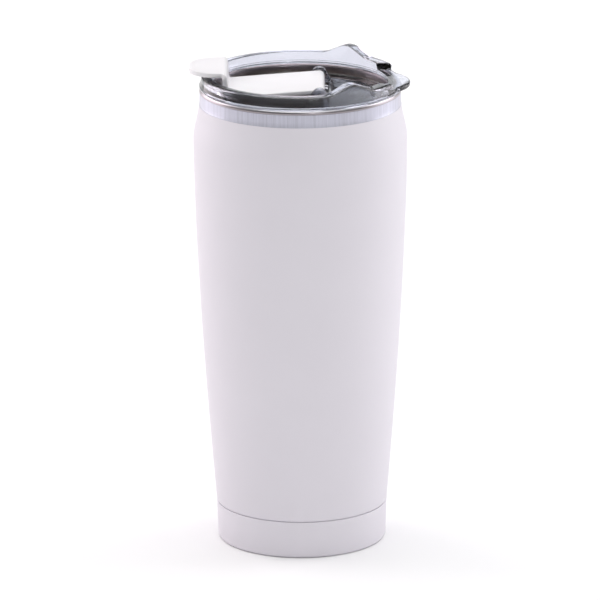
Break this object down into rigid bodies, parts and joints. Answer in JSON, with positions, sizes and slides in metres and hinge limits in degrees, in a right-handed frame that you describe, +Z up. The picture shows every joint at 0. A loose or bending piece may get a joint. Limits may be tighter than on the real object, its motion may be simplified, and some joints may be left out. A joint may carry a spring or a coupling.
{
  "type": "insulated tumbler",
  "caption": "Tall double-walled steel tumbler that tapers to its foot, white coated, with a clear press-in lid and a white flip cover on a hinge.",
  "frame": {"origin": "on the floor at the centre of the foot", "axes": "+Z up along the cup's axis; the cover's thumb tab points to -X, the rear lug to +X, and the hinge pin runs along Y"},
  "size_m": [0.0896, 0.087, 0.1992],
  "materials": {
    "coated_steel": "white powder coat, semi-matte",
    "bare_steel": "brushed stainless steel",
    "clear_plastic": "clear polished moulding",
    "white_plastic": "white satin moulding",
    "silicone": "milky silicone",
    "solder": "matte grey solder",
    "getter_alloy": "pressed metal powder"
  },
  "bodies": {
    "cup": {"outer_shell": "coated_steel", "base_cup": "coated_steel", "base_disc": "bare_steel", "vacuum_seal": "solder", "inner_liner": "bare_steel", "getter_holder": "bare_steel", "getter": "getter_alloy"},
    "lid": {"lid_body": "clear_plastic", "lid_gasket": "silicone", "hinge_pin": "bare_steel"},
    "flip": {"flip_cover": "white_plastic", "drink_seal": "silicone", "vent_seal": "silicone"}
  },
  "joints": [
    {"name": "lid_lift", "type": "slide", "parent": "cup", "child": "lid", "axis": [0, 0, 1], "range_m": [0, 0.06]},
    {"name": "flip_hinge", "type": "hinge", "parent": "lid", "child": "flip", "pos_m": [0.0078, 0, 0.1903], "axis": [0, 1, 0], "range_deg": [0, 172]}
  ]
}
